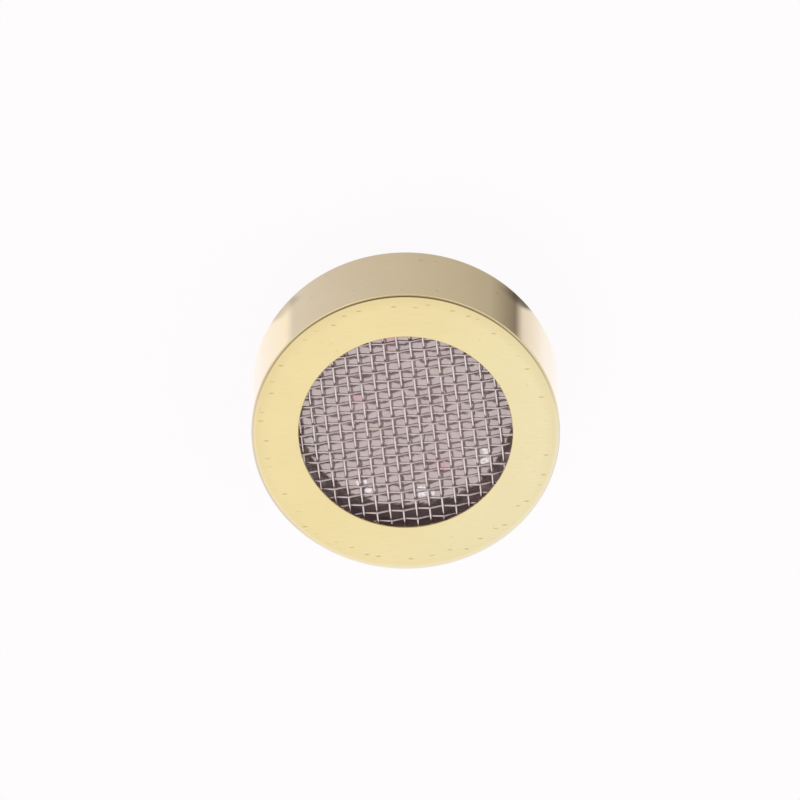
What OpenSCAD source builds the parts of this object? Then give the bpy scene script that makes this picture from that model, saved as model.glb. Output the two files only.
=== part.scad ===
// Electret condenser microphone capsule: a brass cup whose front lip and rolled rear rim
// clamp a wire gauze, a stretched metallised film, a backplate stack and a circuit board.
// The capsule lies on its back. z = 0 is the rolled rim and +Z points out of the gauze.

/* [Housing] */
// Outside diameter of the housing
body_d = 16; // [14.4:0.1:18]
// Height from the rolled rear rim to the front face
body_h = 5; // [4.8:0.1:8]
// Thickness of the side wall
wall_t = 0.5; // [0.3:0.05:0.7]
// Thickness of the front lip
lip_t = 0.2; // [0.15:0.05:0.4]
// Width of the flat face between the sound opening and the outside
face_w = 2.45; // [2:0.05:4]
// Chamfer round the front edge
front_chamfer = 0.08; // [0.02:0.01:0.2]
// Thickness of the rolled rear rim
rim_t = 0.3; // [0.2:0.05:0.4]
// Width of the rolled rear rim, from the outside of the housing
rim_w = 1.3; // [1:0.1:2]
// Outside radius of the rolled rear corner
rim_r = 0.2; // [0.15:0.05:0.5]
// Radial clearance between the housing and what is clamped in it
part_clear = 0.05; // [0.02:0.01:0.1]

/* [Wire gauze] */
// Diameter of the gauze wire
wire_d = 0.12; // [0.08:0.01:0.16]
// Depth that two wires press into each other where they cross
wire_bite = 0.02; // [0.01:0.005:0.03]
// Share of the crimp that the weft wires take; the warp wires take the rest
weft_share = 0.7; // [0.3:0.05:0.8]
// Spacing of the warp wires, which run along Y
warp_pitch = 1.15; // [1:0.05:2]
// Spacing of the weft wires, which run along X
weft_pitch = 0.91; // [0.85:0.01:2]
// Angle of the weave, counter-clockwise seen from the front
weave_angle = 6.15; // [-45:0.05:45]
// Distance that the gauze's pressed margin stays back from the sound opening
margin_set_back = 0.2; // [0.05:0.05:0.5]

/* [Diaphragm] */
// Thickness of the ring that carries the stretched film
ring_t = 0.82; // [0.5:0.01:1]
// Distance that the ring's bore stays back from the sound opening
ring_set_back = 0.15; // [0.05:0.05:0.5]
// Thickness of the stretched film
film_t = 0.02; // [0.01:0.005:0.04]
// Thickness of the spacer washer, which is the air gap under the film
spacer_t = 0.05; // [0.03:0.01:0.1]
// Overlap of the spacer washer on the backplate
spacer_lap = 0.6; // [0.3:0.1:1]

/* [Backplate] */
// Thickness of the charged film on the backplate
electret_t = 0.025; // [0.015:0.005:0.05]
// Thickness of the backplate
backplate_t = 0.9; // [0.6:0.05:1.1]
// Radial wall of the insulating holder round the backplate
holder_wall = 0.5; // [0.4:0.05:0.6]
// Width of the holder's ledge under the backplate
holder_ledge = 0.8; // [0.5:0.05:0.9]
// Clearance in height between the holder and the spacer washer
holder_relief = 0.03; // [0.01:0.01:0.05]
// Diameter of the backplate's sound holes
sound_hole_d = 0.8; // [0.4:0.1:1.2]
// Rings of sound holes round the middle one
sound_hole_rings = 2; // [1, 2]
// Radial distance from one ring of sound holes to the next
sound_hole_step = 2.4; // [1.8:0.1:2.5]

/* [Contact ring] */
// Radial wall of the contact ring
gate_ring_wall = 0.25; // [0.15:0.05:0.4]
// Width of the copper land under the contact ring
gate_land_w = 0.5; // [0.4:0.05:0.6]

/* [Circuit board] */
// Thickness of the bare board
board_t = 0.8; // [0.6:0.1:1]
// Thickness of the copper
copper_t = 0.035; // [0.018:0.001:0.07]
// Width of the board's outer ground ring
ground_ring_w = 1.25; // [1:0.05:1.4]
// Diameter of the two outer solder pads
pad_d = 2.6; // [2:0.1:3]
// Distance of each outer solder pad from the middle of the board
pad_offset = 2.6; // [2.2:0.1:3]
// Width of the traces
trace_w = 0.8; // [0.4:0.1:1]
// Outside diameter of the plated barrels through the board
via_d = 0.6; // [0.5:0.05:0.8]
// Wall of the plated barrels
via_wall = 0.12; // [0.05:0.01:0.2]
// Diameter of the solder domes
solder_d = 2; // [1.6:0.1:2.4]
// Height of the solder domes
solder_h = 0.2; // [0.1:0.02:0.2]
// Diameter of the rear vents
vent_d = 0.9; // [0.5:0.1:1]
// Number of rear vents
vents = 4; // [2:1:8]
// Clearance between the damping cloth and the components inside it
cloth_clear = 0.3; // [0.1:0.05:0.5]
// Thickness of the damping cloth
cloth_t = 0.15; // [0.1:0.05:0.3]
// Gap between the damping cloth and the copper land of the contact ring
cloth_gap = 0.15; // [0.05:0.05:0.3]

/* [Transistor] */
// Length of the transistor body
fet_l = 2.9; // [2.6:0.1:3]
// Width of the transistor body
fet_w = 1.3; // [1.2:0.1:1.4]
// Height of the transistor body
fet_h = 0.95; // [0.8:0.05:1]
// Height of the transistor body above the copper
fet_lift = 0.05; // [0.02:0.01:0.1]
// Taper of the body's sides, from the parting line to the top and bottom
fet_draft = 0.08; // [0:0.01:0.12]
// Distance of the transistor's middle from the middle of the board
fet_y = 2.1; // [2:0.05:2.2]
// Spacing of the two leads on one side
lead_pitch = 1.9; // [1.8:0.05:2]
// Width of a lead
lead_w = 0.4; // [0.3:0.05:0.5]
// Thickness of a lead
lead_t = 0.12; // [0.08:0.01:0.15]
// Depth of a lead inside the body
lead_root = 0.15; // [0.1:0.05:0.3]
// Length of a lead outside the body
lead_reach = 0.55; // [0.45:0.05:0.6]
// Inside radius of a lead's bends
lead_bend = 0.06; // [0.04:0.01:0.08]

/* [Chip capacitors] */
// Length over the ends
chip_l = 1.6; // [1.4:0.1:1.7]
// Width over the ends
chip_w = 0.8; // [0.5:0.05:0.9]
// Height over the ends
chip_h = 0.8; // [0.4:0.05:0.9]
// Length of a metal end
chip_end_l = 0.32; // [0.2:0.02:0.4]
// Thickness of a metal end's skin
chip_skin = 0.03; // [0.02:0.01:0.05]
// Distance from one capacitor to the next
chip_pitch = 1.4; // [1.1:0.1:1.6]

/* [Hidden] */
$fn = 96;
wire_sides = 6;
land_clear = 0.02;

body_r = body_d / 2;
cavity_r = body_r - wall_t;
part_r = cavity_r - part_clear;
opening_r = body_r - face_w;
rim_inner_r = body_r - rim_w;

// At a crossing, one wire lies above the gauze's middle by its rise and the other below by its own
weft_rise = (wire_d - wire_bite) * weft_share;
warp_rise = (wire_d - wire_bite) * (1 - weft_share);
gauze_t = wire_d + 2 * max(weft_rise, warp_rise);
margin_r = opening_r + margin_set_back;
margin_hold = wire_d;
ring_bore_r = opening_r + ring_set_back;

// The stack from the front lip down
lip_z = body_h - lip_t;
gauze_z = lip_z - gauze_t;
ring_z = gauze_z - ring_t;
film_z = ring_z - film_t;
spacer_z = film_z - spacer_t;
electret_z = spacer_z - electret_t;
backplate_z = electret_z - backplate_t;

// The board from the rolled rim up
board_z = rim_t + copper_t;
board_top_z = board_z + board_t;
track_top_z = board_top_z + copper_t;

holder_bore_r = part_r - holder_wall;
backplate_r = holder_bore_r - part_clear;
holder_foot_r = backplate_r - holder_ledge;
spacer_bore_r = backplate_r - spacer_lap;
gate_ring_r = holder_foot_r - part_clear;
gate_land_bore_r = gate_ring_r - gate_land_w;
cloth_r = gate_land_bore_r - cloth_gap;

fet_z = track_top_z + fet_lift;
parting_z = fet_z + fet_h / 2;
lead_foot_y = fet_w / 2 + lead_reach;
fet_corner_r = sqrt(pow(fet_l / 2, 2) + pow(fet_y + fet_w / 2, 2));
lead_corner_r = sqrt(pow(lead_w / 2, 2) + pow(fet_y + lead_foot_y, 2));
cloth_bore_r = max(fet_corner_r, lead_corner_r) + cloth_clear;
vent_circle_r = (cloth_r + cloth_bore_r) / 2;
track_x = lead_pitch / 2;
track_start_y = fet_y - lead_foot_y;
track_end_y = -chip_pitch - chip_w / 2;
solder_r = (pow(solder_d / 2, 2) + pow(solder_h, 2)) / (2 * solder_h);

brass = "#e0cf98";
steel = "#c8c0bf";
dark_ring = "#43363b";
film_grey = "#b9aaab";
resin = "#d9d2bd";
copper = "#cf9a5b";
board_green = "#2f6f4a";
solder_grey = "#c4c6c8";

// A flat ring standing on z = 0
module ring(outer_r, bore_r, t) {
    linear_extrude(t) difference() {
        circle(outer_r);
        circle(bore_r);
    }
}

// Housing
// Half section of the cup: wall, chamfered front lip and rolled rim with a round nose
module housing_section() {
    difference() {
        square([body_r, body_h]);
        translate([body_r - rim_r, 0]) difference() {
            square(rim_r);
            translate([0, rim_r]) circle(rim_r);
        }
        polygon([
            [body_r - front_chamfer, body_h],
            [body_r, body_h - front_chamfer],
            [body_r, body_h]
        ]);
        translate([0, rim_t]) square([cavity_r, lip_z - rim_t]);
        square([opening_r, body_h]);
        square([rim_inner_r + rim_t / 2, rim_t]);
    }
    translate([rim_inner_r + rim_t / 2, rim_t / 2]) circle(d = rim_t);
}

module housing() {
    color(brass) rotate_extrude() housing_section();
}

// Wire gauze
// Places where the wires across a wire at offset u meet it, inside a circle of radius margin_r
function crossings(u, pitch) =
    let (reach = sqrt(pow(margin_r, 2) - pow(u, 2)), n = floor(reach / pitch))
    [for (k = [-n:n]) k];

// A wire goes over and under by turns: a negative rise starts it under
function wire_path(i, u, pitch, rise) =
    let (reach = sqrt(pow(margin_r, 2) - pow(u, 2)))
    concat(
        [[-reach - margin_hold, 0]],
        [for (k = crossings(u, pitch)) [k * pitch, rise * (((i + k) % 2 == 0) ? 1 : -1)]],
        [[reach + margin_hold, 0]]
    );

// The wire lies level for one diameter where it crosses another
module knuckle(point) {
    translate([point[0], 0, point[1]]) rotate([0, 90, 0])
        cylinder(d = wire_d, h = wire_d, center = true, $fn = wire_sides);
}

module wire(path) {
    for (k = [0:len(path) - 2]) hull() {
        knuckle(path[k]);
        knuckle(path[k + 1]);
    }
}

module wire_set(pitch, cross_pitch, rise) {
    n = floor((margin_r - wire_d) / pitch);
    for (i = [-n:n])
        translate([0, i * pitch, 0]) wire(wire_path(i, i * pitch, cross_pitch, rise));
}

module front_mesh() {
    color(steel) translate([0, 0, gauze_z + gauze_t / 2]) rotate(weave_angle) {
        wire_set(weft_pitch, warp_pitch, weft_rise);
        rotate(90) mirror([0, 1, 0]) wire_set(warp_pitch, weft_pitch, -warp_rise);
        translate([0, 0, -gauze_t / 2]) ring(part_r, margin_r, gauze_t);
    }
}

// Diaphragm stack
module diaphragm_ring() {
    color(dark_ring) translate([0, 0, ring_z]) ring(part_r, ring_bore_r, ring_t);
}

module diaphragm() {
    color(film_grey) translate([0, 0, film_z]) cylinder(r = part_r, h = film_t);
}

module spacer_washer() {
    color("#e8e2c8") translate([0, 0, spacer_z]) ring(part_r, spacer_bore_r, spacer_t);
}

// Backplate stack
module sound_holes(t) {
    circle_r = sound_hole_d / 2;
    translate([0, 0, -t]) {
        cylinder(r = circle_r, h = 3 * t);
        for (row = [1:sound_hole_rings], k = [0:6 * row - 1])
            rotate(k * 60 / row) translate([row * sound_hole_step, 0, 0])
                cylinder(r = circle_r, h = 3 * t);
    }
}

module pierced_disc(t) {
    difference() {
        cylinder(r = backplate_r, h = t);
        sound_holes(t);
    }
}

module electret_film() {
    color("#dfe6e8") translate([0, 0, electret_z]) pierced_disc(electret_t);
}

module backplate() {
    color(brass) translate([0, 0, backplate_z]) pierced_disc(backplate_t);
}

module backplate_holder() {
    color(resin) rotate_extrude() difference() {
        translate([holder_foot_r, board_top_z])
            square([part_r - holder_foot_r, spacer_z - holder_relief - board_top_z]);
        translate([0, backplate_z]) square([holder_bore_r, body_h]);
    }
}

module gate_ring() {
    color(copper) translate([0, 0, track_top_z])
        ring(gate_ring_r, gate_ring_r - gate_ring_wall, backplate_z - track_top_z);
}

// Circuit board
module at_vents() {
    for (k = [0:vents - 1])
        rotate((k + 0.5) * 360 / vents) translate([vent_circle_r, 0, 0]) children();
}

module damping_cloth() {
    color("#f1efe9") translate([0, 0, track_top_z]) ring(cloth_r, cloth_bore_r, cloth_t);
}

module circuit_board() {
    color(board_green) difference() {
        translate([0, 0, board_z]) cylinder(r = part_r, h = board_t);
        at_vents() cylinder(d = vent_d, h = body_h);
        for (x = [-pad_offset, pad_offset]) translate([x, 0, 0]) cylinder(d = via_d, h = body_h);
    }
}

module ground_pad() {
    color(copper) translate([0, 0, rim_t]) linear_extrude(copper_t) {
        difference() {
            circle(part_r);
            circle(part_r - ground_ring_w);
        }
        translate([pad_offset, 0]) circle(d = pad_d);
        translate([pad_offset, -trace_w / 2]) square([part_r - ground_ring_w / 2 - pad_offset, trace_w]);
    }
}

module output_pad() {
    color(copper) translate([-pad_offset, 0, rim_t]) cylinder(d = pad_d, h = copper_t);
}

module gate_track() {
    trace_start = fet_y + fet_w / 2 + lead_reach / 2;
    color(copper) translate([0, 0, board_top_z]) linear_extrude(copper_t) {
        difference() {
            circle(gate_ring_r);
            circle(gate_land_bore_r);
        }
        translate([-trace_w / 2, trace_start])
            square([trace_w, gate_land_bore_r + gate_land_w / 2 - trace_start]);
    }
}

// One of the two tracks under the capacitors: side is -1 for drain and +1 for source
module component_track(side) {
    color(copper) translate([0, 0, board_top_z]) linear_extrude(copper_t) {
        translate([side * track_x - trace_w / 2, track_end_y])
            square([trace_w, track_start_y + lead_reach - land_clear - track_end_y]);
        translate([side * (track_x + pad_offset) / 2 - (pad_offset - track_x) / 2, -trace_w / 2])
            square([pad_offset - track_x, trace_w]);
        translate([side * pad_offset, 0]) circle(d = trace_w);
    }
}

module drain_track() {
    component_track(-1);
}

module source_track() {
    component_track(1);
}

module via_barrel(side) {
    color(copper) translate([side * pad_offset, 0, board_z])
        ring(via_d / 2, via_d / 2 - via_wall, board_t);
}

module output_via() {
    via_barrel(-1);
}

module ground_via() {
    via_barrel(1);
}

// A shallow dome that hangs from an outer pad
module solder_dome(side) {
    color(solder_grey) translate([side * pad_offset, 0, rim_t]) intersection() {
        translate([0, 0, solder_r - solder_h]) sphere(solder_r);
        translate([0, 0, -solder_h]) cylinder(d = solder_d, h = solder_h);
    }
}

module output_solder() {
    solder_dome(-1);
}

module ground_solder() {
    solder_dome(1);
}

// Transistor
// A lead seen from its side: root, shoulder, bend down, bend out and foot
module lead_section() {
    shoulder_z = parting_z - track_top_z;
    leg_x = lead_reach * 0.4;
    bend_r = lead_bend + lead_t;
    translate([-lead_root, shoulder_z - lead_t / 2])
        square([lead_root + leg_x - bend_r, lead_t]);
    translate([leg_x - bend_r, shoulder_z + lead_t / 2 - bend_r]) quarter_bend(0);
    translate([leg_x - lead_t, bend_r])
        square([lead_t, shoulder_z + lead_t / 2 - 2 * bend_r]);
    translate([leg_x - lead_t + bend_r, bend_r]) quarter_bend(180);
    translate([leg_x - lead_t + bend_r, 0])
        square([lead_reach - leg_x + lead_t - bend_r, lead_t]);
}

module quarter_bend(turn) {
    bend_r = lead_bend + lead_t;
    rotate(turn) intersection() {
        difference() {
            circle(bend_r);
            circle(lead_bend);
        }
        square(bend_r);
    }
}

// A lead whose root is at the body's side: side is +1 towards +Y and -1 towards -Y
module fet_lead(x, side) {
    translate([x, fet_y, track_top_z]) rotate(90 * side) translate([fet_w / 2, 0, 0])
        rotate([90, 0, 0]) linear_extrude(lead_w, center = true) lead_section();
}

module fet_side(half_w) {
    polygon([
        [-half_w + fet_draft, 0], [half_w - fet_draft, 0], [half_w, fet_h / 2],
        [half_w - fet_draft, fet_h], [-half_w + fet_draft, fet_h], [-half_w, fet_h / 2]
    ]);
}

module fet_body() {
    color("#2b2b2e") difference() {
        translate([0, fet_y, fet_z]) intersection() {
            rotate([90, 0, 90]) linear_extrude(fet_l, center = true) fet_side(fet_w / 2);
            rotate([90, 0, 0]) linear_extrude(fet_w, center = true) fet_side(fet_l / 2);
        }
        fet_lead(0, 1);
        fet_lead(-track_x, -1);
        fet_lead(track_x, -1);
    }
}

module fet_gate_lead() {
    color(solder_grey) fet_lead(0, 1);
}

module fet_drain_lead() {
    color(solder_grey) fet_lead(-track_x, -1);
}

module fet_source_lead() {
    color(solder_grey) fet_lead(track_x, -1);
}

// Chip capacitors
module chip_core(row) {
    translate([0, -row * chip_pitch, track_top_z + chip_h / 2])
        cube([chip_l, chip_w, chip_h] - 2 * [chip_skin, chip_skin, chip_skin], center = true);
}

module chip_body(row) {
    color("#b08a63") chip_core(row);
}

module chip_end(row, side) {
    color(solder_grey) difference() {
        translate([side * (chip_l - chip_end_l) / 2, -row * chip_pitch, track_top_z + chip_h / 2])
            cube([chip_end_l, chip_w, chip_h], center = true);
        chip_core(row);
    }
}

module capacitor_a_body() {
    chip_body(0);
}

module capacitor_a_left_end() {
    chip_end(0, -1);
}

module capacitor_a_right_end() {
    chip_end(0, 1);
}

module capacitor_b_body() {
    chip_body(1);
}

module capacitor_b_left_end() {
    chip_end(1, -1);
}

module capacitor_b_right_end() {
    chip_end(1, 1);
}

housing();
front_mesh();
diaphragm_ring();
diaphragm();
spacer_washer();
electret_film();
backplate();
backplate_holder();
gate_ring();
damping_cloth();
circuit_board();
ground_pad();
output_pad();
gate_track();
drain_track();
source_track();
output_via();
ground_via();
output_solder();
ground_solder();
fet_body();
fet_gate_lead();
fet_source_lead();
fet_drain_lead();
capacitor_a_body();
capacitor_a_left_end();
capacitor_a_right_end();
capacitor_b_body();
capacitor_b_left_end();
capacitor_b_right_end();
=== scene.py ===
import math
import bpy
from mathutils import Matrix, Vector


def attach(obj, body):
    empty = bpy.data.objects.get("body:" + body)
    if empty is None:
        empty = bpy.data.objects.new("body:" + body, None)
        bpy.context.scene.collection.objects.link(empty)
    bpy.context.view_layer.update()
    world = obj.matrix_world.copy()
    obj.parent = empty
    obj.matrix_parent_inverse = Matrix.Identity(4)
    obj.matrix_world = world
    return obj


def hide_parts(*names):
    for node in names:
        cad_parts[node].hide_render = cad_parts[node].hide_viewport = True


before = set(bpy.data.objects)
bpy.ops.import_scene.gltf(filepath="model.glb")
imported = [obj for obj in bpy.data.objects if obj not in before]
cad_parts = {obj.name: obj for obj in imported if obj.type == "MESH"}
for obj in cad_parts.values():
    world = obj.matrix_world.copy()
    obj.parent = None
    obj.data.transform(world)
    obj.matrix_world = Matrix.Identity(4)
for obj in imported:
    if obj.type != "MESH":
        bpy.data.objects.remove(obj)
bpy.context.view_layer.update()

mm = 0.001  # every size below is in millimetres

capsule = {
    "bodyRadius": 8.0,
    "bodyHeight": 5.0,
    "openingRadius": 5.55,
    "lipUnderside": 4.8,
    "partRadius": 7.45,      # radius of what the housing clamps
    "segments": 256,         # round the housing
    "innerSegments": 192,    # round the gauze's margin and the ring
    "mergeDistance": 0.0002,
}


# Modelling steps that several pieces share

def clearSelection():
    if bpy.context.object and bpy.context.object.mode != "OBJECT":
        bpy.ops.object.mode_set(mode="OBJECT")
    bpy.ops.object.select_all(action="DESELECT")


def pick(*pieces):
    clearSelection()
    for piece in pieces:
        piece.select_set(True)
    bpy.context.view_layer.objects.active = pieces[0]


def settle(piece):
    # the object goes to the origin and its place into the mesh
    pick(piece)
    bpy.ops.object.transform_apply(location=True, rotation=True, scale=True)


def applyModifiers(piece):
    pick(piece)
    for modifier in list(piece.modifiers):
        bpy.ops.object.modifier_apply(modifier=modifier.name)


def smoothFaces(piece, angle=35):
    pick(piece)
    bpy.ops.object.shade_smooth_by_angle(angle=math.radians(angle))


def turnFacesOut():
    # called in edit mode, which it leaves
    bpy.ops.mesh.select_all(action="SELECT")
    bpy.ops.mesh.normals_make_consistent(inside=False)
    bpy.ops.object.mode_set(mode="OBJECT")


def joinPieces(name, pieces):
    pick(*pieces)
    bpy.ops.object.join()
    joined = bpy.context.object
    joined.name = name
    return joined


def roundedSection(corners, steps):
    # corners are (radius, height, rounding), in order round the section; a point just beyond
    # each end of a rounding keeps the shading of the straight sides flat
    beyond = 0.01
    section = []
    count = len(corners)
    for k, (r, z, rounding) in enumerate(corners):
        here = Vector((r, z))
        if rounding <= 0:
            section.append((r, z))
            continue
        back = (Vector(corners[k - 1][:2]) - here).normalized()
        ahead = (Vector(corners[(k + 1) % count][:2]) - here).normalized()
        half = math.acos(max(-1, min(1, back.dot(ahead)))) / 2
        middle = here + (back + ahead).normalized() * rounding / math.sin(half)
        start = here + back * rounding / math.tan(half) - middle
        end = here + ahead * rounding / math.tan(half) - middle
        section.append(tuple(middle + start + back * beyond))
        for step in range(steps + 1):
            section.append(tuple(middle + start.lerp(end, step / steps).normalized() * rounding))
        section.append(tuple(middle + end + ahead * beyond))
    return section


def turnPiece(name, section, segments):
    # a circle of edges is carried round a closed section by extruding and resizing
    r, z = section[0]
    clearSelection()
    bpy.ops.mesh.primitive_circle_add(vertices=segments, radius=r * mm, location=(0, 0, z * mm))
    piece = bpy.context.object
    piece.name = piece.data.name = name
    settle(piece)
    bpy.ops.object.mode_set(mode="EDIT")
    bpy.ops.mesh.select_all(action="SELECT")
    for nextR, nextZ in section[1:] + section[:1]:
        bpy.ops.mesh.extrude_region_move(
            TRANSFORM_OT_translate={"value": (0, 0, (nextZ - z) * mm)})
        bpy.ops.transform.resize(value=(nextR / r, nextR / r, 1),
                                 center_override=(0, 0, nextZ * mm))
        r, z = nextR, nextZ
    bpy.ops.mesh.select_all(action="SELECT")
    bpy.ops.mesh.remove_doubles(threshold=capsule["mergeDistance"] * mm)
    turnFacesOut()
    smoothFaces(piece)
    return piece


# Shader steps that several finishes share

def startFinish(name, metallic=0.0, roughness=0.5, **sockets):
    material = bpy.data.materials.new(name)
    material.use_nodes = True
    tree = material.node_tree
    shader = tree.nodes["Principled BSDF"]
    shader.inputs["Metallic"].default_value = metallic
    shader.inputs["Roughness"].default_value = roughness
    for socket, value in sockets.items():
        shader.inputs[socket.replace("_", " ")].default_value = value
    return material, tree, shader


def inMillimetres(tree, stretch=(1, 1, 1), turn=0.0):
    # Object coordinates in millimetres, turned and stretched
    coords = tree.nodes.new("ShaderNodeTexCoord")
    shift = tree.nodes.new("ShaderNodeMapping")
    shift.vector_type = "TEXTURE"
    shift.inputs["Rotation"].default_value = (0, 0, math.radians(turn))
    shift.inputs["Scale"].default_value = (mm, mm, mm)
    scale = tree.nodes.new("ShaderNodeMapping")
    scale.inputs["Scale"].default_value = stretch
    tree.links.new(coords.outputs["Object"], shift.inputs["Vector"])
    tree.links.new(shift.outputs["Vector"], scale.inputs["Vector"])
    return scale.outputs["Vector"]


def noise(tree, place, scale, detail=2.0, roughness=0.5):
    node = tree.nodes.new("ShaderNodeTexNoise")
    node.inputs["Scale"].default_value = scale
    node.inputs["Detail"].default_value = detail
    node.inputs["Roughness"].default_value = roughness
    tree.links.new(place, node.inputs["Vector"])
    return node.outputs["Fac"]


def span(tree, value, low, high, toLow=0.0, toHigh=1.0, soft=True):
    # toLow for values up to low, toHigh for values from high on
    node = tree.nodes.new("ShaderNodeMapRange")
    node.interpolation_type = "SMOOTHSTEP" if soft else "LINEAR"
    node.inputs["From Min"].default_value = low
    node.inputs["From Max"].default_value = high
    node.inputs["To Min"].default_value = toLow
    node.inputs["To Max"].default_value = toHigh
    tree.links.new(value, node.inputs["Value"])
    return node.outputs["Result"]


def maths(tree, operation, first, second=None):
    node = tree.nodes.new("ShaderNodeMath")
    node.operation = operation
    for socket, value in zip(node.inputs, (first, second)):
        if value is None:
            continue
        if isinstance(value, (int, float)):
            socket.default_value = value
        else:
            tree.links.new(value, socket)
    return node.outputs["Value"]


def times(tree, *values):
    product = values[0]
    for value in values[1:]:
        product = maths(tree, "MULTIPLY", product, value)
    return product


def blendColour(tree, share, first, second):
    node = tree.nodes.new("ShaderNodeMix")
    node.data_type = "RGBA"
    tree.links.new(share, node.inputs[0])
    for socket, value in ((node.inputs[6], first), (node.inputs[7], second)):
        if isinstance(value, (tuple, list)):
            socket.default_value = (*value, 1)
        else:
            tree.links.new(value, socket)
    return node.outputs[2]


def axes(tree, place):
    node = tree.nodes.new("ShaderNodeSeparateXYZ")
    tree.links.new(place, node.inputs["Vector"])
    return node.outputs["X"], node.outputs["Y"], node.outputs["Z"]


def joinAxes(tree, x, y, z, stretch):
    node = tree.nodes.new("ShaderNodeCombineXYZ")
    for socket, value, factor in zip(node.inputs, (x, y, z), stretch):
        tree.links.new(times(tree, value, factor), socket)
    return node.outputs["Vector"]


def splitColour(tree, colour):
    node = tree.nodes.new("ShaderNodeSeparateColor")
    tree.links.new(colour, node.inputs["Color"])
    return node.outputs["Red"], node.outputs["Green"], node.outputs["Blue"]


def lengthOf(tree, x, y):
    return maths(tree, "SQRT", maths(tree, "ADD", times(tree, x, x), times(tree, y, y)))


def addBump(tree, shader, height, depth):
    node = tree.nodes.new("ShaderNodeBump")
    node.inputs["Distance"].default_value = depth * mm
    tree.links.new(height, node.inputs["Height"])
    tree.links.new(node.outputs["Normal"], shader.inputs["Normal"])


def dress(piece, material):
    piece.data.materials.clear()
    piece.data.materials.append(material)


# Camera, floor and light

camera = {
    "tilt": 27.2,                        # degrees off the capsule's axis, towards +Y
    "distance": 1000.0,
    "aim": (-0.2953, 1.4931, 4.2326),
    "lens": 868.5,
    "clip": (0.01, 10),                  # in metres
}

# rows of limits, here and in the dictionaries below, are handed to span: the two values between
# which something comes in or goes out, and its share at each where that isn't 0 and 1
studio = {
    "white": (0.991, 0.972, 0.982),
    "floorRadius": 1500.0,
    "floorLevel": -0.02,
    "floorCorners": 96,
    "floorRoughness": 0.9,
    "floorShade": 0.06,       # share of the floor that the lamps light, so that it takes a shadow
    # painted shade on the floor that only mirrors see, as the side wall mirrors it from its left to
    # its right: place in X and colour
    "mirrored": ((-6.2, (1.05, 0.99, 0.99)), (-5.85, (0.74, 0.71, 0.77)),
                 (-3.9, (0.70, 0.665, 0.77)), (0.0, (0.62, 0.60, 0.67)),
                 (2.8, (0.56, 0.515, 0.53)), (4.4, (0.49, 0.447, 0.43)),
                 (5.2, (0.33, 0.28, 0.255)), (5.72, (0.21, 0.18, 0.17)),
                 (6.08, (0.84, 0.76, 0.78)), (7.2, (1.05, 0.99, 1.01))),
    "mirroredReach": (18, 40),           # how far from the middle the stripes go
    "contact": (0.3, 0.8),    # painted shade: how dark the floor is at the left and right end of the wall's foot
    "contactLeft": ((-7.2, -6.9), (-6.2, -5.8)),     # where in X each of them comes in and goes out
    "contactRight": ((5.0, 6.3), (6.45, 6.75)),
    "contactReach": (8.15, 8.6),
    "darkCeiling": 0.30,      # what polished pieces mirror from behind the camera
    "ceilingInY": (0.02, 0.2),
    "ceilingInZ": (0.5, 0.68),
    "horizon": 1.6,           # and from low behind the capsule, less so in the middle
    "horizonInX": (0.1, 0.45, 0.2, 1),
    "horizonInY": (0.05, 0.3),
    "horizonInZ": (0.42, 0.52),
    "leftward": 0.12,         # how much brighter the left of the room is
    "leftwardInX": 0.8,
    "fill": 0.75,             # what the world gives to matt surfaces
    "lamps": (("keyLight", (-350, -600, 900), 3.2), ("sideLight", (600, -200, 700), 1.6)),
    "lampSize": 0.5,          # in metres
}


def placeCamera():
    tilt = math.radians(camera["tilt"])
    lens = bpy.data.cameras.new("captureCamera")
    lens.lens = camera["lens"]
    lens.clip_start, lens.clip_end = camera["clip"]
    viewer = bpy.data.objects.new("captureCamera", lens)
    bpy.context.scene.collection.objects.link(viewer)
    back = Vector((0, math.sin(tilt), math.cos(tilt))) * camera["distance"]
    viewer.location = (Vector(camera["aim"]) + back) * mm
    viewer.rotation_euler = (-tilt, 0, 0)
    bpy.context.scene.camera = viewer


def seenOrMirrored(tree):
    # 1 for mirrored rays, and 1 for rays from the camera, from a mirror or through glass
    path = tree.nodes.new("ShaderNodeLightPath")
    glossy = path.outputs["Is Glossy Ray"]
    seen = maths(tree, "MAXIMUM", path.outputs["Is Camera Ray"], glossy)
    return glossy, maths(tree, "MAXIMUM", seen, path.outputs["Is Transmission Ray"])


def mirroredShade(tree, x, y, away):
    # the painted stripes fan out from the foot of the wall as its mirror image does, so that they
    # stand upright in the wall; the bearing of a stripe's foot is found by rounds of one formula
    rounds = 4
    radius = capsule["bodyRadius"]
    bearing = maths(tree, "ARCTAN2", x, maths(tree, "ABSOLUTE", y))
    near = maths(tree, "DIVIDE", radius, away)
    foot = bearing
    for guess in range(rounds):
        bend = maths(tree, "ARCSINE", times(tree, near, maths(tree, "SINE", foot)))
        foot = times(tree, maths(tree, "ADD", bearing, bend), 0.5)
    place = times(tree, maths(tree, "SINE", foot), radius)
    steps = tree.nodes.new("ShaderNodeValToRGB")
    tree.links.new(span(tree, place, -radius, radius, soft=False), steps.inputs["Fac"])
    ramp = steps.color_ramp
    for left, colour in studio["mirrored"]:
        stop = ramp.elements.new((left / radius + 1) / 2)
        stop.color = (*colour, 1)
    ramp.elements.remove(ramp.elements[0])
    ramp.elements.remove(ramp.elements[-1])
    return steps.outputs["Color"]


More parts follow.
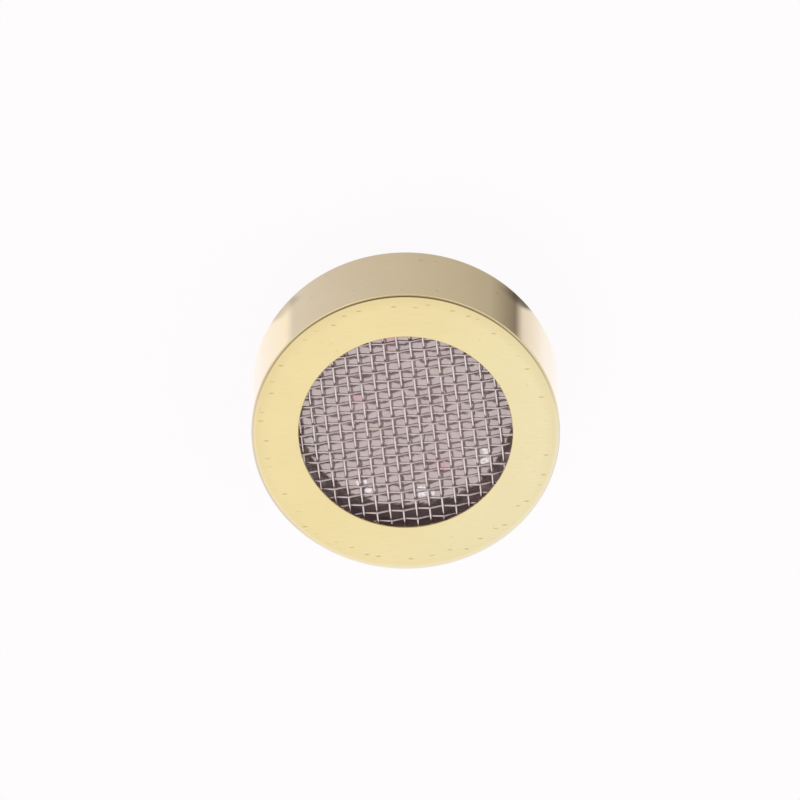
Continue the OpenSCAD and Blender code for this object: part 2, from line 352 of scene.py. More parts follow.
def wallFoot(tree, x, away):
    # painted shade, seen only in mirrors: how dark the floor is close to the wall, at the two ends
    # of what the camera sees of it
    leftShade, rightShade = studio["contact"]
    leftIn, leftOut = studio["contactLeft"]
    rightIn, rightOut = studio["contactRight"]
    left = times(tree, span(tree, x, *leftIn), span(tree, x, *leftOut, leftShade, 0))
    right = times(tree, span(tree, x, *rightIn, 0, rightShade), span(tree, x, *rightOut, 1, 0))
    return times(tree, maths(tree, "MAXIMUM", left, right),
                 span(tree, away, *studio["contactReach"], 1, 0))


def layFloor():
    clearSelection()
    bpy.ops.mesh.primitive_circle_add(
        vertices=studio["floorCorners"], radius=studio["floorRadius"] * mm, fill_type="NGON",
        location=(0, 0, studio["floorLevel"] * mm))
    floor = bpy.context.object
    floor.name = "studioFloor"
    settle(floor)
    material, tree, shader = startFinish("studioFloor", roughness=studio["floorRoughness"])
    shader.inputs["Specular IOR Level"].default_value = 0
    shader.inputs["Base Color"].default_value = (*studio["white"], 1)
    x, y = axes(tree, inMillimetres(tree))[:2]
    away = lengthOf(tree, x, y)
    shade = blendColour(tree, wallFoot(tree, x, away), mirroredShade(tree, x, y, away), (0, 0, 0))
    glossy, seen = seenOrMirrored(tree)
    mirrored = times(tree, glossy, span(tree, away, *studio["mirroredReach"], 1, 0))
    glow = tree.nodes.new("ShaderNodeEmission")
    tree.links.new(blendColour(tree, mirrored, studio["white"], shade), glow.inputs["Color"])
    lit = tree.nodes.new("ShaderNodeMixShader")
    tree.links.new(times(tree, seen, 1 - studio["floorShade"]), lit.inputs["Fac"])
    tree.links.new(shader.outputs["BSDF"], lit.inputs[1])
    tree.links.new(glow.outputs["Emission"], lit.inputs[2])
    tree.links.new(lit.outputs["Shader"], tree.nodes["Material Output"].inputs["Surface"])
    dress(floor, material)


def paintRoom():
    world = bpy.data.worlds.new("studioWorld")
    bpy.context.scene.world = world
    world.use_nodes = True
    tree = world.node_tree
    backdrop = tree.nodes["Background"]
    glossy, seen = seenOrMirrored(tree)
    x, y, z = axes(tree, tree.nodes.new("ShaderNodeTexCoord").outputs["Generated"])
    dark = times(tree, span(tree, y, *studio["ceilingInY"]), span(tree, z, *studio["ceilingInZ"]))
    low = times(tree, span(tree, y, *studio["horizonInY"]),
                span(tree, z, *studio["horizonInZ"], 1, 0),
                span(tree, maths(tree, "ABSOLUTE", x), *studio["horizonInX"]))
    darker = maths(tree, "SUBTRACT", times(tree, dark, 1 - studio["darkCeiling"]),
                   times(tree, low, studio["horizon"] - 1))
    reach, leftward = studio["leftwardInX"], studio["leftward"]
    darker = maths(tree, "ADD", darker, span(tree, x, -reach, reach, -leftward, leftward))
    darker = times(tree, glossy, darker)
    level = times(tree, maths(tree, "SUBTRACT", 1, darker),
                  span(tree, seen, 0, 1, studio["fill"], 1.0))
    backdrop.inputs["Color"].default_value = (*studio["white"], 1)
    tree.links.new(level, backdrop.inputs["Strength"])


def hangLamps():
    for name, place, power in studio["lamps"]:
        lamp = bpy.data.lights.new(name, "AREA")
        lamp.energy = power
        lamp.size = studio["lampSize"]
        holder = bpy.data.objects.new(name, lamp)
        bpy.context.scene.collection.objects.link(holder)
        holder.location = Vector(place) * mm
        holder.rotation_euler = Vector(place).to_track_quat("Z", "Y").to_euler()
        holder.visible_glossy = False


bpy.context.scene.view_settings.view_transform = "Standard"
placeCamera()
layFloor()
paintRoom()
hangLamps()
print("studio is ready")

# Housing: a drawn and turned brass cup with its rear edge rolled over

housing = {
    "wall": 0.5,
    "frontRounding": 0.06,
    "openingRounding": 0.04,
    "lipRounding": 0.03,
    "rearRounding": 0.2,
    "roundingSteps": 6,
    "rimInside": 6.7,
    "rimThickness": 0.3,
    "rimRoundness": 0.98,     # 1 is a full half circle
    "colour": (0.893, 0.750, 0.378),
    "greenTinge": (0.985, 1.05, 1.22),
    # tarnish of the brass, also used as painted shade at the edge of the opening
    "tarnishAndShade": (0.50, 0.36, 0.13),
    # painted shade: the near-black of the dark line inside the face's edge and of the opening's
    # wall
    "paintedShade": (0.13, 0.08, 0.025),
    "bare": (0.97, 0.93, 0.84),
    "scuffed": (0.42, 0.31, 0.27),
    "bareShare": 0.6,
    "gloss": (0.3, 0.8, 0.07, 0.2),      # limits of the grain, and the roughness at each
    "coatRoughness": 0.03,
    "bump": 0.0006,
    "grainStretch": (1.2, 12, 1),
    "scratchStretch": (9, 9, 0.5),
    "scratchTurn": 20,
    "speckSize": 1.3,         # cells to a millimetre, one speck in some of them
    "speckStretch": (0.9, 2.6, 2.6),
    "toolMarks": 52,          # round the face near its edge
    "markCircle": 7.42,
    "markSpread": 0.18,       # to both sides of that circle
    "markSize": (0.14, 0.04),
    "driftSlant": 0.3,
    # where each tone comes in or goes out
    "tones": {
        "faceInZ": (4.93, 4.985),
        "drift": (-3, 9),
        "clouds": (0.3, 0.7, 0, 0.05),
        "grain": (0.35, 0.75, 0, 0.05),
        "dullRadius": (7.1, 7.85),
        "dullInY": (-7, 4, 0.03, 0.15),
        "speck": (0.08, 0.17, 1, 0),
        "speckChance": (0.45, 0.95),
        "speckOnFace": (0, 1, 0.8, 0.2),
        "markPlace": (0, 1, 0.25, 0.75),
        "markOutline": (0.4, 1.4, 1, 0),
        "markStrength": (0.1, 0.8, 0.1, 0.7),
        "bareRadius": (7.72, 7.95, 0, 0.8),
        "bareEdge": (7.95, 7.98),
        "bareInY": (-1, 5, 1, 0),
        "bareInZ": (4.9, 4.95),
        "scuffRadius": (7.86, 7.92),
        "scuffInX": (-7, -3, 0.35, 0),
        "lineStart": (7.83, 7.87),
        "lineEnd": (7.935, 7.95, 1, 0),
        "lineInY": (1.0, 7.8, 0.05, 1),
        "mouthRadius": (5.54, 5.61, 0.75, 0),
        "insideRadius": (5.56, 5.58, 1, 0),
        "insideInZ": (4.93, 4.97, 0.85, 0),
        "scratches": (0.62, 0.75, 0, 0.6),
    },
}


def turnHousing():
    body, height = capsule["bodyRadius"], capsule["bodyHeight"]
    opening, lip = capsule["openingRadius"], capsule["lipUnderside"]
    cavity = body - housing["wall"]
    rim = housing["rimThickness"]
    nose = rim / 2 * housing["rimRoundness"]
    corners = [
        (body, 0, housing["rearRounding"]),
        (body, height, housing["frontRounding"]),
        (opening, height, housing["openingRounding"]),
        (opening, lip, housing["lipRounding"]),
        (cavity, lip, 0),
        (cavity, rim, 0),
        (housing["rimInside"], rim, nose),
        (housing["rimInside"], 0, nose),
    ]
    return turnPiece("turnedHousing", roundedSection(corners, housing["roundingSteps"]),
                     capsule["segments"])


def toolMarks(tree, x, y):
    # one short level mark in each sector of the face, its place and strength at random
    tones = housing["tones"]
    sectors = housing["toolMarks"] / (2 * math.pi)
    sector = maths(tree, "FLOOR", times(tree, maths(tree, "ARCTAN2", x, y), sectors))
    chance = tree.nodes.new("ShaderNodeTexWhiteNoise")
    chance.noise_dimensions = "1D"
    tree.links.new(sector, chance.inputs["W"])
    first, second, third = splitColour(tree, chance.outputs["Color"])
    place = maths(tree, "ADD", sector, span(tree, first, *tones["markPlace"]))
    around = maths(tree, "DIVIDE", place, sectors)
    circle, spread = housing["markCircle"], housing["markSpread"]
    out = span(tree, second, 0, 1, circle - spread, circle + spread)
    dx = maths(tree, "SUBTRACT", x, times(tree, out, maths(tree, "SINE", around)))
    dy = maths(tree, "SUBTRACT", y, times(tree, out, maths(tree, "COSINE", around)))
    wide, high = housing["markSize"]
    size = lengthOf(tree, maths(tree, "DIVIDE", dx, wide), maths(tree, "DIVIDE", dy, high))
    return times(tree, span(tree, size, *tones["markOutline"]),
                 span(tree, third, *tones["markStrength"]))


def darkMarks(tree, x, y, z, arc, radius, onFace):
    # short specks here and there, and a ring of tool marks near the edge of the face
    tones = housing["tones"]
    cells = tree.nodes.new("ShaderNodeTexVoronoi")
    cells.inputs["Scale"].default_value = housing["speckSize"]
    tree.links.new(joinAxes(tree, arc, radius, z, housing["speckStretch"]), cells.inputs["Vector"])
    chance = splitColour(tree, cells.outputs["Color"])[0]
    specks = times(tree, span(tree, cells.outputs["Distance"], *tones["speck"]),
                   span(tree, chance, *tones["speckChance"]),
                   span(tree, onFace, *tones["speckOnFace"]))
    return maths(tree, "MAXIMUM", specks, times(tree, toolMarks(tree, x, y), onFace))


def polishedBrass():
    material, tree, shader = startFinish("polishedBrass", metallic=1.0, Coat_Weight=1.0,
                                         Coat_Roughness=housing["coatRoughness"])
    tones, tarnishAndShade = housing["tones"], housing["tarnishAndShade"]
    place = inMillimetres(tree)
    x, y, z = axes(tree, place)
    radius = lengthOf(tree, x, y)
    onFace = span(tree, z, *tones["faceInZ"])
    onWall = maths(tree, "SUBTRACT", 1, onFace)
    # slow change of tone over the face, greener and paler towards +X
    slanted = maths(tree, "SUBTRACT", x, times(tree, y, housing["driftSlant"]))
    green = [a * b for a, b in zip(housing["colour"], housing["greenTinge"])]
    colour = blendColour(tree, span(tree, slanted, *tones["drift"]), housing["colour"], green)
    clouds = span(tree, noise(tree, place, scale=0.35, detail=3), *tones["clouds"])
    colour = blendColour(tree, clouds, colour, tarnishAndShade)
    # fine grain along X on the face and level round the wall
    arc = times(tree, maths(tree, "ARCTAN2", x, y), capsule["bodyRadius"])
    along = maths(tree, "ADD", times(tree, x, onFace), times(tree, arc, onWall))
    across = maths(tree, "ADD", times(tree, y, onFace), times(tree, z, onWall))
    level = joinAxes(tree, along, across, 0, housing["grainStretch"])
    grain = noise(tree, level, scale=1.0, detail=4, roughness=0.6)
    colour = blendColour(tree, span(tree, grain, *tones["grain"]), colour, tarnishAndShade)
    # the face dulls towards its edge, more so on the upper half
    dull = times(tree, span(tree, radius, *tones["dullRadius"]),
                 span(tree, y, *tones["dullInY"]), onFace)
    colour = blendColour(tree, dull, colour, tarnishAndShade)
    marks = darkMarks(tree, x, y, z, arc, radius, onFace)
    colour = blendColour(tree, marks, colour, tarnishAndShade)
    # the edge of the face: bare and pale on the lower half, scuffed at its left end
    bare = maths(tree, "MAXIMUM", span(tree, radius, *tones["bareRadius"]),
                 span(tree, radius, *tones["bareEdge"]))
    bare = times(tree, bare, span(tree, y, *tones["bareInY"]),
                 span(tree, z, *tones["bareInZ"]), housing["bareShare"])
    colour = blendColour(tree, bare, colour, housing["bare"])
    scuff = times(tree, span(tree, radius, *tones["scuffRadius"]),
                  span(tree, x, *tones["scuffInX"]), onFace)
    colour = blendColour(tree, scuff, colour, housing["scuffed"])
    # a dark line just inside that edge on the upper half: painted reflection, the dark that the
    # rounded edge mirrors there
    line = times(tree, span(tree, radius, *tones["lineStart"]),
                 span(tree, radius, *tones["lineEnd"]),
                 span(tree, y, *tones["lineInY"], soft=False), onFace)
    colour = blendColour(tree, line, colour, housing["paintedShade"])
    # the edge of the opening, and its wall below that, darkened with painted shade
    colour = blendColour(tree, span(tree, radius, *tones["mouthRadius"]), colour, tarnishAndShade)
    inside = times(tree, span(tree, radius, *tones["insideRadius"]),
                   span(tree, z, *tones["insideInZ"]))
    colour = blendColour(tree, inside, colour, housing["paintedShade"])
    tree.links.new(colour, shader.inputs["Base Color"])
    tree.links.new(span(tree, grain, *housing["gloss"]), shader.inputs["Roughness"])
    scratched = inMillimetres(tree, stretch=housing["scratchStretch"], turn=housing["scratchTurn"])
    scratches = noise(tree, scratched, scale=1.0, detail=5, roughness=0.7)
    scratches = span(tree, scratches, *tones["scratches"])
    addBump(tree, shader, maths(tree, "ADD", grain, scratches), housing["bump"])
    return material


brassFinish = polishedBrass()
turnedHousing = turnHousing()
dress(turnedHousing, brassFinish)
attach(turnedHousing, "root")
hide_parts("housing")
print("housing is turned:", len(turnedHousing.data.polygons), "faces")

# Wire gauze: a plain weave of crimped wires in a pressed margin

gauze = {
    "wire": 0.12,
    "warpPitch": 0.6873,     # from one wire along Y to the next
    "weftPitch": 0.5428,     # from one wire along X to the next
    "warpStart": 0.063,      # place of the warp and weft wires nearest to the middle
    "weftStart": 0.230,
    "warpRise": 0.043,       # the weft wires take more of the crimp
    "weftRise": 0.077,
    "sharpness": 0.08,       # of the bend over a crossing wire
    "turn": 6.15,
    "middle": 4.67,
    "thickness": 0.26,
    "marginRadius": 5.75,
    "marginHold": 0.1,       # how far the wires run into the margin
    "outerRounding": 0.02,
    "innerRounding": 0.08,
    "roundingSteps": 4,
    "spare": 1.0,            # how much longer a strand is before it is cut
    "sides": 10,
    "steps": 8,              # rings of the wire from one crossing to the next
    "smoothAngle": 50,
    "mergeDistance": 0.0005,
    "cutDistance": 0.0001,
    # the weft wires are the same steel as the warp; the weft's darker colour is painted shade
    "warpColour": (0.86, 0.76, 0.745),
    "weftColour": (0.74, 0.645, 0.645),
    "dim": 0.88,             # level of the dimmer patches
    "dimShare": (0.3, 0.7),
    "dust": (0.36, 0.30, 0.30),
    "dustShare": (0.45, 0.8, 0, 0.35),
    "tarnishAndShade": (0.30, 0.225, 0.225),     # painted shade on the flanks of the wires, which their normals find
    "flankShadeShare": (0.3, 0.85, 0.85, 0),
    "gloss": (0.3, 0.8, 0.15, 0.35),
    "streakStretch": (6, 6, 6),
    "bump": 0.002,
}


def crimp(turns, rise):
    # height of a wire, turns being crossings passed: round over the crossing wire, straight between
    sharp = gauze["sharpness"]
    wave = math.cos(math.pi * turns) + sharp * math.cos(3 * math.pi * turns)
    return rise * wave / (1 + sharp)


def drawStrand(name, crossPitch, rise):
    # one strand along X through many crossings, drawn as a two-crossing cell that an array repeats
    steps = 2 * gauze["steps"]
    clearSelection()
    bpy.ops.mesh.primitive_circle_add(
        vertices=gauze["sides"], radius=gauze["wire"] / 2 * mm, rotation=(0, math.pi / 2, 0),
        location=(0, 0, crimp(0, rise) * mm))
    strand = bpy.context.object
    strand.name = name
    settle(strand)
    bpy.ops.object.mode_set(mode="EDIT")
    bpy.ops.mesh.select_all(action="SELECT")
    for step in range(steps):
        lift = crimp(2 * (step + 1) / steps, rise) - crimp(2 * step / steps, rise)
        bpy.ops.mesh.extrude_region_move(
            TRANSFORM_OT_translate={"value": (2 * crossPitch / steps * mm, 0, lift * mm)})
    bpy.ops.object.mode_set(mode="OBJECT")
    cells = 2 * math.ceil((gauze["marginRadius"] + gauze["spare"]) / (2 * crossPitch))
    repeat = strand.modifiers.new("cells", "ARRAY")
    repeat.count = cells
    repeat.use_relative_offset = False
    repeat.use_constant_offset = True
    repeat.constant_offset_displace = (2 * crossPitch * mm, 0, 0)
    repeat.use_merge_vertices = True
    repeat.merge_threshold = gauze["mergeDistance"] * mm
    applyModifiers(strand)
    strand.location.x = -cells * crossPitch * mm   # an even crossing is at the middle again
    settle(strand)
    return strand


def trimStrand(strand, reach):
    pick(strand)
    bpy.ops.object.mode_set(mode="EDIT")
    for side in (-1, 1):
        bpy.ops.mesh.select_all(action="SELECT")
        bpy.ops.mesh.bisect(plane_co=(side * reach * mm, 0, 0), plane_no=(side, 0, 0),
                            use_fill=True, clear_outer=True, threshold=gauze["cutDistance"] * mm)
    turnFacesOut()


def layStrands(name, pitch, start, crossPitch, crossStart, rise, turned):
    # copies of one strand side by side, every second one a crossing further on, cut to the margin
    pattern = drawStrand(name, crossPitch, rise)
    hold = gauze["marginRadius"] + gauze["marginHold"]
    count = math.ceil(hold / pitch)
    strands = []
    for row in range(-count, count + 1):
        across = start + row * pitch
        if abs(across) > gauze["marginRadius"] - gauze["wire"]:
            continue
        pick(pattern)
        bpy.ops.object.duplicate()
        strand = bpy.context.object
        strand.location.x = (crossStart + (row % 2) * crossPitch) * mm
        settle(strand)
        trimStrand(strand, math.sqrt(hold ** 2 - across ** 2))
        strand.location.y = across * mm
        settle(strand)
        if turned:   # the wires along X become the wires along Y
            strand.rotation_euler = (0, 0, math.pi / 2)
            strand.scale = (1, -1, 1)
            settle(strand)
            bpy.ops.object.mode_set(mode="EDIT")
            turnFacesOut()
        strands.append(strand)
    bpy.data.objects.remove(pattern)
    return strands


def pressMargin():
    outside, inside = capsule["partRadius"], gauze["marginRadius"]
    half = gauze["thickness"] / 2
    corners = [(outside, -half, gauze["outerRounding"]), (outside, half, gauze["outerRounding"]),
               (inside, half, gauze["innerRounding"]), (inside, -half, gauze["innerRounding"])]
    return turnPiece("pressedMargin", roundedSection(corners, gauze["roundingSteps"]),
                     capsule["innerSegments"])


def weaveGauze():
    weft = layStrands("weftWire", gauze["weftPitch"], gauze["weftStart"],
                      gauze["warpPitch"], gauze["warpStart"], gauze["weftRise"], False)
    warp = layStrands("warpWire", gauze["warpPitch"], gauze["warpStart"],
                      gauze["weftPitch"], gauze["weftStart"], -gauze["warpRise"], True)
    margin = pressMargin()
    for wire in weft + warp:
        smoothFaces(wire, gauze["smoothAngle"])
    warpFinish = drawnSteel("warpSteel", gauze["warpColour"])
    weftFinish = drawnSteel("weftSteel", gauze["weftColour"])
    for piece in weft:
        dress(piece, weftFinish)
    for piece in warp + [margin]:
        dress(piece, warpFinish)
    woven = joinPieces("wovenGauze", weft + warp + [margin])
    woven.rotation_euler.z = math.radians(gauze["turn"])
    woven.location.z = gauze["middle"] * mm
    settle(woven)
    return woven


def drawnSteel(name, tone):
    material, tree, shader = startFinish(name, metallic=1.0)
    patches = noise(tree, inMillimetres(tree, turn=gauze["turn"]), scale=1.3, detail=3)
    streaks = noise(tree, inMillimetres(tree, stretch=gauze["streakStretch"]),
                    scale=4.0, detail=3, roughness=0.6)
    dimmer = [level * gauze["dim"] for level in tone]
    colour = blendColour(tree, span(tree, patches, *gauze["dimShare"]), tone, dimmer)
    colour = blendColour(tree, span(tree, streaks, *gauze["dustShare"]), colour, gauze["dust"])
    # painted shade: the flanks of the wires, found by their normals, are darkened
    normal = tree.nodes.new("ShaderNodeTexCoord").outputs["Normal"]
    upright = maths(tree, "ABSOLUTE", axes(tree, normal)[2])
    colour = blendColour(tree, span(tree, upright, *gauze["flankShadeShare"]), colour,
                         gauze["tarnishAndShade"])
    tree.links.new(colour, shader.inputs["Base Color"])
    tree.links.new(span(tree, streaks, *gauze["gloss"]), shader.inputs["Roughness"])
    addBump(tree, shader, streaks, gauze["bump"])
    return material


wovenGauze = weaveGauze()
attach(wovenGauze, "root")
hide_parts("front_mesh")
print("gauze is woven:", sum(len(p.vertices) - 2 for p in wovenGauze.data.polygons), "triangles")

# Diaphragm: a metallised film stretched on a ring, dark with painted shade

film = {
    "colour": (0.625, 0.53, 0.52),
    "dull": (0.54, 0.45, 0.445),
    "dullShare": (0.35, 0.72, 0, 0.8),
    "warm": (0.58, 0.525, 0.45),
    "warmShare": (0.5, 0.7, 0, 0.5),
    "haze": 0.25,            # share of the film that scatters light
    "roughness": 0.09,
    "ripple": 0.8,           # ripples to a millimetre, and their depth
    "rippleDepth": 0.06,
    "stray": 0.12,           # of the outlines of marks and stains
    "glintColour": (1.0, 0.96, 0.955),
    "glintEdge": 0.35,
    "fragments": 7.0,        # to a millimetre, that the painted glints are broken into
    "fragmentShare": (0.36, 0.56, 0.4, 1),
    # painted glints: bright white patches near the edge of the film stand for highlights there;
    # place, half width and half height
    "marks": [(-4.83, -0.88, 0.25, 0.12), (-2.45, -3.62, 0.12, 0.14), (-2.15, -3.56, 0.15, 0.12),
              (-1.93, -3.97, 0.16, 0.24), (0.80, -4.10, 0.40, 0.30), (1.38, -4.12, 0.13, 0.22),
              (3.98, -2.24, 0.36, 0.27), (4.14, -1.70, 0.19, 0.22), (5.27, 1.28, 0.14, 0.18)],
    # faint pink stains: place, half width and half height
    "blush": (0.68, 0.38, 0.42),
    "blushShare": 0.5,
    "blushEdge": 0.5,
    "stains": [(-2.48, 1.31, 0.32, 0.32), (1.9, -2.65, 0.42, 0.42), (-0.8, 4.8, 0.5, 0.5)],
}


def spot(tree, x, y, place, edge):
    # 1 inside an ellipse, falling to 0 across its outline
    left, low, wide, high = place
    dx = maths(tree, "DIVIDE", maths(tree, "SUBTRACT", x, left), wide)
    dy = maths(tree, "DIVIDE", maths(tree, "SUBTRACT", y, low), high)
    return span(tree, lengthOf(tree, dx, dy), 1 - edge, 1 + edge, 1, 0)


def metallisedFilm():
    material, tree, shader = startFinish("metallisedFilm", metallic=1 - film["haze"],
                                         roughness=film["roughness"])
    place = inMillimetres(tree)
    x, y = axes(tree, place)[:2]
    stray = film["stray"]
    bend = span(tree, noise(tree, place, scale=3.0), 0, 1, -stray, stray, soft=False)
    bent = maths(tree, "ADD", x, bend)
    dull = noise(tree, place, scale=1.6, detail=4, roughness=0.6)
    dull = span(tree, dull, *film["dullShare"])
    colour = blendColour(tree, dull, film["colour"], film["dull"])
    warm = span(tree, noise(tree, place, scale=0.9, detail=3), *film["warmShare"])
    colour = blendColour(tree, warm, colour, film["warm"])
    for stain in film["stains"]:
        share = times(tree, spot(tree, bent, y, stain, film["blushEdge"]), film["blushShare"])
        colour = blendColour(tree, share, colour, film["blush"])
    # painted glints: near-white patches near the film's edge stand for highlights
    broken = span(tree, noise(tree, place, film["fragments"]), *film["fragmentShare"])
    for mark in film["marks"]:
        share = times(tree, spot(tree, bent, y, mark, film["glintEdge"]), broken)
        colour = blendColour(tree, share, colour, film["glintColour"])
    tree.links.new(colour, shader.inputs["Base Color"])
    addBump(tree, shader, noise(tree, place, film["ripple"]), film["rippleDepth"])
    return material


ring = {
    "top": 4.54,
    "underside": 3.72,       # the film is stretched over this side
    "bore": 5.70,
    "outerRounding": 0.03,
    "topRounding": 0.05,
    "filmRounding": 0.02,
    "roundingSteps": 3,
    # the ring's dark colour is painted shade for its wall, which sits in shade under the gauze
    "colour": (0.25, 0.185, 0.195),
    "worn": (0.34, 0.26, 0.265),
    "wornShare": (0.4, 0.75),
    "metallic": 0.9,
    "gloss": (0.3, 0.8, 0.3, 0.5),
    "streakStretch": (1, 1, 9),
    "bump": 0.003,
}


def turnRing():
    outside, bore = capsule["partRadius"], ring["bore"]
    corners = [(outside, ring["underside"], ring["outerRounding"]),
               (outside, ring["top"], ring["outerRounding"]),
               (bore, ring["top"], ring["topRounding"]),
               (bore, ring["underside"], ring["filmRounding"])]
    return turnPiece("turnedRing", roundedSection(corners, ring["roundingSteps"]),
                     capsule["innerSegments"])


def shadedRingMetal():
    material, tree, shader = startFinish("shadedRingMetal", metallic=ring["metallic"])
    level = noise(tree, inMillimetres(tree, stretch=ring["streakStretch"]),
                  scale=1.4, detail=4, roughness=0.6)
    colour = blendColour(tree, span(tree, level, *ring["wornShare"]), ring["colour"], ring["worn"])
    tree.links.new(colour, shader.inputs["Base Color"])
    tree.links.new(span(tree, level, *ring["gloss"]), shader.inputs["Roughness"])
    addBump(tree, shader, level, ring["bump"])
    return material


dress(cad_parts["diaphragm"], metallisedFilm())
turnedRing = turnRing()
dress(turnedRing, shadedRingMetal())
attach(turnedRing, "root")
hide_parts("diaphragm_ring")
print("diaphragm and ring are dressed")

# Damping cloth: a soft ring that lies over the rear vents

cloth = {
    "outer": 5.38,
    "bore": 3.63,
    "base": 1.175,
    "thickness": 0.12,
    "wave": 0.008,           # how far it is from flat, and its waves along X and Y
    "waveInX": (2.3, 0.4),
    "waveInY": (2.9, -0.7),
    "corners": 160,
    "bands": 10,
    "colour": (0.83, 0.81, 0.76),
    "shade": (0.58, 0.55, 0.49),
    "paleShare": (0.55, 0.85),
    "clouds": 0.3,           # how much large patches differ, beside the fibres
    "roughness": 0.95,
    "sheen": 0.3,
    "fibres": (((3, 40, 3), 25), ((40, 3, 3), -15)),     # stretch and turn of its two ways
    "bump": 0.02,
}


def cutCloth():
    clearSelection()
    bpy.ops.mesh.primitive_circle_add(vertices=cloth["corners"], radius=cloth["bore"] * mm,
                                      location=(0, 0, (cloth["base"] + cloth["wave"]) * mm))
    sheet = bpy.context.object
    sheet.name = "dampingFelt"
    settle(sheet)
    bpy.ops.object.mode_set(mode="EDIT")
    bpy.ops.mesh.select_all(action="SELECT")
    radius = cloth["bore"]
    for band in range(cloth["bands"]):
        wider = cloth["bore"] + (cloth["outer"] - cloth["bore"]) * (band + 1) / cloth["bands"]
        bpy.ops.mesh.extrude_region_move()
        bpy.ops.transform.resize(value=(wider / radius, wider / radius, 1),
                                 center_override=(0, 0, 0))
        radius = wider
    turnFacesOut()
    rateX, startX = cloth["waveInX"]
    rateY, startY = cloth["waveInY"]
    for corner in sheet.data.vertices:
        x, y = corner.co.x / mm, corner.co.y / mm
        lift = math.sin(rateX * x + startX) * math.cos(rateY * y + startY)
        corner.co.z += cloth["wave"] * mm * lift
    if sheet.data.polygons[0].normal.z < 0:
        sheet.data.flip_normals()
    wall = sheet.modifiers.new("thickness", "SOLIDIFY")
    wall.thickness = cloth["thickness"] * mm
    wall.offset = 1
    applyModifiers(sheet)
    smoothFaces(sheet)
    return sheet


def feltFinish():
    material, tree, shader = startFinish("dampingFelt", roughness=cloth["roughness"],
                                         Sheen_Weight=cloth["sheen"])
    lengthwise, crosswise = [
        noise(tree, inMillimetres(tree, stretch=stretch, turn=turn),
              scale=1.0, detail=3, roughness=0.6)
        for stretch, turn in cloth["fibres"]]
    fibres = maths(tree, "MAXIMUM", lengthwise, crosswise)
    clouds = noise(tree, inMillimetres(tree), scale=1.2)
    tone = maths(tree, "ADD", fibres, times(tree, clouds, cloth["clouds"]))
    colour = blendColour(tree, span(tree, tone, *cloth["paleShare"]), cloth["shade"],
                         cloth["colour"])
    tree.links.new(colour, shader.inputs["Base Color"])
    addBump(tree, shader, fibres, cloth["bump"])
    return material


dampingFelt = cutCloth()
dress(dampingFelt, feltFinish())
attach(dampingFelt, "root")
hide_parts("damping_cloth")
print("damping cloth is laid")

# Solder on the outer pads: a mound with a concave skirt and a slightly uneven outline

solder = {
    "reach": 1.0,
    "base": 0.3,
    "height": 0.19,
    "tipRadius": 0.004,      # not 0, so that the section can be carried round
    "steps": 15,
    "fullness": 0.8,         # below 1 the middle is rounder and the skirt steeper
    "segments": 48,
    "swell": ((2, 0.035), (5, 0.02)),    # waves round the outline, and how far they stand out
    "places": {"output_solder": (-2.6, 0.7), "ground_solder": (2.6, 2.1)},   # in X, and its turn
}


def meltSolder(node, left, turn):
    # the mound hangs below its pad, so its section goes from the skirt down to the tip
    reach, base, tip = solder["reach"], solder["base"], solder["tipRadius"]
    section = [(tip, base), (reach, base)]
    for step in range(1, solder["steps"]):
        share = step / solder["steps"]
        drop = (0.5 - 0.5 * math.cos(math.pi * share)) ** solder["fullness"]
        section.append((reach * (1 - share) + tip, base - solder["height"] * drop))
    section.append((tip, base - solder["height"]))
    mound = turnPiece(node + "Mound", section, solder["segments"])
    (wideWaves, wide), (narrowWaves, narrow) = solder["swell"]
    for corner in mound.data.vertices:
        around = math.atan2(corner.co.y, corner.co.x)
        swell = 1 + wide * math.sin(wideWaves * around + turn)
        swell += narrow * math.sin(narrowWaves * around - turn)
        corner.co.x *= swell
        corner.co.y *= swell
    mound.location.x = left * mm
    settle(mound)
    return mound


mottling = {
    "detail": 5,
    "roughness": 0.6,
    "otherShare": (0.35, 0.7),
    "gloss": (0.3, 0.75),
    "glossSpread": (0.8, 1.25),          # of the roughness that a finish asks for
}


def mottled(name, colour, other, metallic, roughness, scale, stretch=(1, 1, 1), depth=0.002):
    # a finish whose tone, gloss and surface vary together
    material, tree, shader = startFinish(name, metallic)
    pattern = noise(tree, inMillimetres(tree, stretch=stretch), scale, mottling["detail"],
                    mottling["roughness"])
    share = span(tree, pattern, *mottling["otherShare"])
    tree.links.new(blendColour(tree, share, colour, other), shader.inputs["Base Color"])
    smoother, rougher = mottling["glossSpread"]
    gloss = span(tree, pattern, *mottling["gloss"], roughness * smoother, roughness * rougher)
    tree.links.new(gloss, shader.inputs["Roughness"])
    addBump(tree, shader, pattern, depth)
    return material


solderFinish = mottled("brightSolder", (0.74, 0.75, 0.76), (0.64, 0.65, 0.67),
                       metallic=1.0, roughness=0.22, scale=2.2)
for node, (left, turn) in solder["places"].items():
    mound = meltSolder(node, left, turn)
    dress(mound, solderFinish)
    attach(mound, "root")
    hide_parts(node)
print("solder is on the pads")

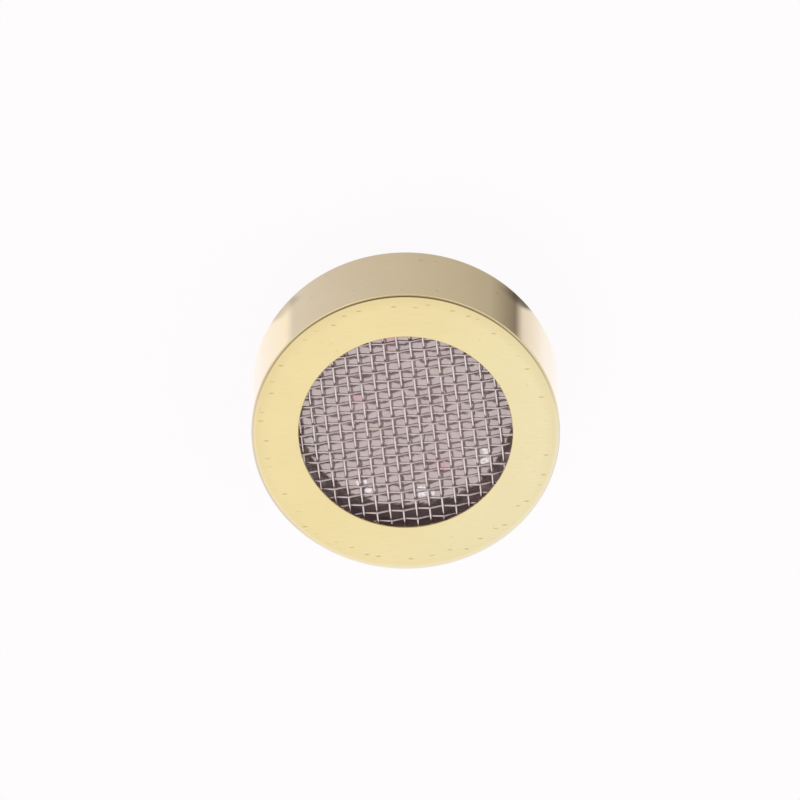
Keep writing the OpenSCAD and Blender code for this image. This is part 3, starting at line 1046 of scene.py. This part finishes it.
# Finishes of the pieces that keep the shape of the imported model

goldPlate = mottled("goldPlate", (0.86, 0.63, 0.30), (0.80, 0.57, 0.26),
                    metallic=1.0, roughness=0.24, scale=3.5, depth=0.0015)
tinnedLead = mottled("tinnedLead", (0.70, 0.71, 0.72), (0.54, 0.55, 0.56),
                     metallic=1.0, roughness=0.28, scale=3.0)
pressedBrass = mottled("pressedBrass", (0.74, 0.60, 0.34), (0.66, 0.52, 0.27),
                       metallic=1.0, roughness=0.3, scale=1.0, stretch=(0.6, 0.6, 14))
clearFilm = mottled("clearFilm", (0.86, 0.86, 0.82), (0.78, 0.79, 0.74),
                    metallic=0.0, roughness=0.25, scale=1.0, depth=0.001)
holderResin = mottled("holderResin", (0.78, 0.73, 0.60), (0.70, 0.64, 0.50),
                      metallic=0.0, roughness=0.5, scale=1.2)
epoxyBlack = mottled("epoxyBlack", (0.03, 0.03, 0.034), (0.05, 0.05, 0.052),
                     metallic=0.0, roughness=0.55, scale=8.0, depth=0.006)
chipCeramic = mottled("chipCeramic", (0.50, 0.35, 0.22), (0.40, 0.27, 0.16),
                      metallic=0.0, roughness=0.5, scale=5.0)

board = {
    "lacquer": (0.025, 0.14, 0.06),
    "paleLacquer": (0.045, 0.20, 0.085),
    "paleShare": (0.3, 0.75),
    "coat": 0.15,
    "cutEdge": (0.62, 0.55, 0.33),
    "cutEdgeRadius": (7.42, 7.445),
    "weave": 14,             # of the glass under the lacquer, and how strongly it shows
    "weaveShare": 0.08,
    "gloss": (0.2, 0.8, 0.22, 0.4),
    "bump": 0.003,
}


def solderMask():
    # green lacquer over a glass weave, and the bare cut edge of the board
    material, tree, shader = startFinish("solderMask", Coat_Weight=board["coat"])
    place = inMillimetres(tree)
    x, y = axes(tree, place)[:2]
    weave = times(tree, maths(tree, "SINE", times(tree, x, board["weave"])),
                  maths(tree, "SINE", times(tree, y, board["weave"])), board["weaveShare"])
    tone = maths(tree, "ADD", weave, noise(tree, place, scale=1.2, detail=4))
    colour = blendColour(tree, span(tree, tone, *board["paleShare"]), board["lacquer"],
                         board["paleLacquer"])
    cutEdge = span(tree, lengthOf(tree, x, y), *board["cutEdgeRadius"])
    tree.links.new(blendColour(tree, cutEdge, colour, board["cutEdge"]),
                   shader.inputs["Base Color"])
    tree.links.new(span(tree, tone, *board["gloss"]), shader.inputs["Roughness"])
    addBump(tree, shader, tone, board["bump"])
    return material


finishes = {
    "circuit_board": solderMask(), "backplate_holder": holderResin,
    "gate_ring": pressedBrass, "backplate": pressedBrass,
    "electret_film": clearFilm, "spacer_washer": clearFilm, "fet_body": epoxyBlack,
    "capacitor_a_body": chipCeramic, "capacitor_b_body": chipCeramic,
}
for node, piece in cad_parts.items():
    if node in finishes:
        dress(piece, finishes[node])
    elif node.endswith(("_pad", "_track", "_via")):
        dress(piece, goldPlate)
    elif node.endswith(("_lead", "_end")):
        dress(piece, tinnedLead)
print("packed pieces are dressed")
